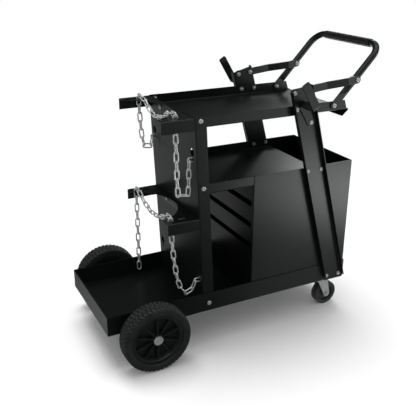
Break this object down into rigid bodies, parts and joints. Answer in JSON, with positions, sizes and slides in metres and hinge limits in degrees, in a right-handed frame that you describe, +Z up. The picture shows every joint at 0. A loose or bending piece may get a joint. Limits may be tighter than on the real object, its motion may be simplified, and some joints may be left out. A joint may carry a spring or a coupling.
{
  "type": "welding cart",
  "caption": "Tiered steel welding cart: leaning rear panel, bottle platform on large wheels, swivel casters, tube handle, storage box, bottle brackets with safety chains, cable hooks.",
  "frame": {"origin": "on the ground under the middle of the cart's bounding box", "axes": "+X from the bottle platform towards the handle, +Y from the near side to the far side, +Z up from the ground"},
  "size_m": [0.793, 0.4224, 0.7681],
  "materials": {
    "black_powder_coat": "satin fine-textured powder coat",
    "plated_steel": "bright zinc plating",
    "fastener_zinc": "bright zinc plating",
    "chain_zinc": "bright zinc plating, welded links",
    "tyre_rubber": "matt moulded rubber",
    "hub_plastic": "moulded plastic",
    "caster_rubber": "matt rubber",
    "caster_plastic": "moulded plastic",
    "grip_rubber": "ribbed rubber sleeve"
  },
  "bodies": {
    "frame": {"base_tray": "black_powder_coat", "rear_panel": "black_powder_coat", "top_tray": "black_powder_coat", "middle_shelf": "black_powder_coat", "box_side_near": "black_powder_coat", "box_side_far": "black_powder_coat", "box_end_wall": "black_powder_coat", "box_slotted_wall": "black_powder_coat", "channel_near": "black_powder_coat", "channel_far": "black_powder_coat", "tank_bracket_upper": "black_powder_coat", "tank_bracket_lower": "black_powder_coat", "handle_tube": "black_powder_coat", "handle_grip": "grip_rubber", "handle_strut_near": "black_powder_coat", "handle_strut_far": "black_powder_coat", "cable_hook_near": "black_powder_coat", "cable_hook_far": "black_powder_coat", "upper_chain": "chain_zinc", "lower_chain": "chain_zinc", "axle": "plated_steel", "axle_clamps": "black_powder_coat", "axle_spacers": "plated_steel", "axle_washers": "fastener_zinc", "axle_nuts": "fastener_zinc", "caster_plate_near": "plated_steel", "caster_plate_far": "plated_steel", "post_bolts": "fastener_zinc", "post_nuts": "fastener_zinc", "channel_bolts": "fastener_zinc", "channel_nuts": "fastener_zinc", "channel_spacers": "plated_steel", "handle_bolts": "fastener_zinc", "handle_nuts": "fastener_zinc", "hook_bolts": "fastener_zinc", "hook_nuts": "fastener_zinc", "bracket_bolts": "fastener_zinc", "bracket_nuts": "fastener_zinc", "caster_bolts": "fastener_zinc", "caster_nuts": "fastener_zinc"},
    "wheel_near": {"wheel_tyre_near": "tyre_rubber", "wheel_hub_near": "hub_plastic", "wheel_bush_near": "plated_steel"},
    "wheel_far": {"wheel_tyre_far": "tyre_rubber", "wheel_hub_far": "hub_plastic", "wheel_bush_far": "plated_steel"},
    "caster_swivel_near": {"caster_fork_near": "plated_steel", "caster_axle_near": "plated_steel"},
    "caster_swivel_far": {"caster_fork_far": "plated_steel", "caster_axle_far": "plated_steel"},
    "caster_wheel_near": {"caster_tyre_near": "caster_rubber", "caster_hub_near": "caster_plastic"},
    "caster_wheel_far": {"caster_tyre_far": "caster_rubber", "caster_hub_far": "caster_plastic"}
  },
  "joints": [
    {"name": "wheel_near_spin", "type": "hinge", "parent": "frame", "child": "wheel_near", "pos_m": [-0.28646, -0.1829, 0.0895], "axis": [0, 1, 0], "continuous": true},
    {"name": "wheel_far_spin", "type": "hinge", "parent": "frame", "child": "wheel_far", "pos_m": [-0.28646, 0.1829, 0.0895], "axis": [0, 1, 0], "continuous": true},
    {"name": "caster_near_swivel", "type": "hinge", "parent": "frame", "child": "caster_swivel_near", "pos_m": [0.27154, -0.108, 0.084], "axis": [0, 0, 1], "continuous": true},
    {"name": "caster_far_swivel", "type": "hinge", "parent": "frame", "child": "caster_swivel_far", "pos_m": [0.27154, 0.108, 0.084], "axis": [0, 0, 1], "continuous": true},
    {"name": "caster_near_roll", "type": "hinge", "parent": "caster_swivel_near", "child": "caster_wheel_near", "pos_m": [0.28754, -0.108, 0.036], "axis": [0, 1, 0], "continuous": true},
    {"name": "caster_far_roll", "type": "hinge", "parent": "caster_swivel_far", "child": "caster_wheel_far", "pos_m": [0.28754, 0.108, 0.036], "axis": [0, 1, 0], "continuous": true}
  ]
}
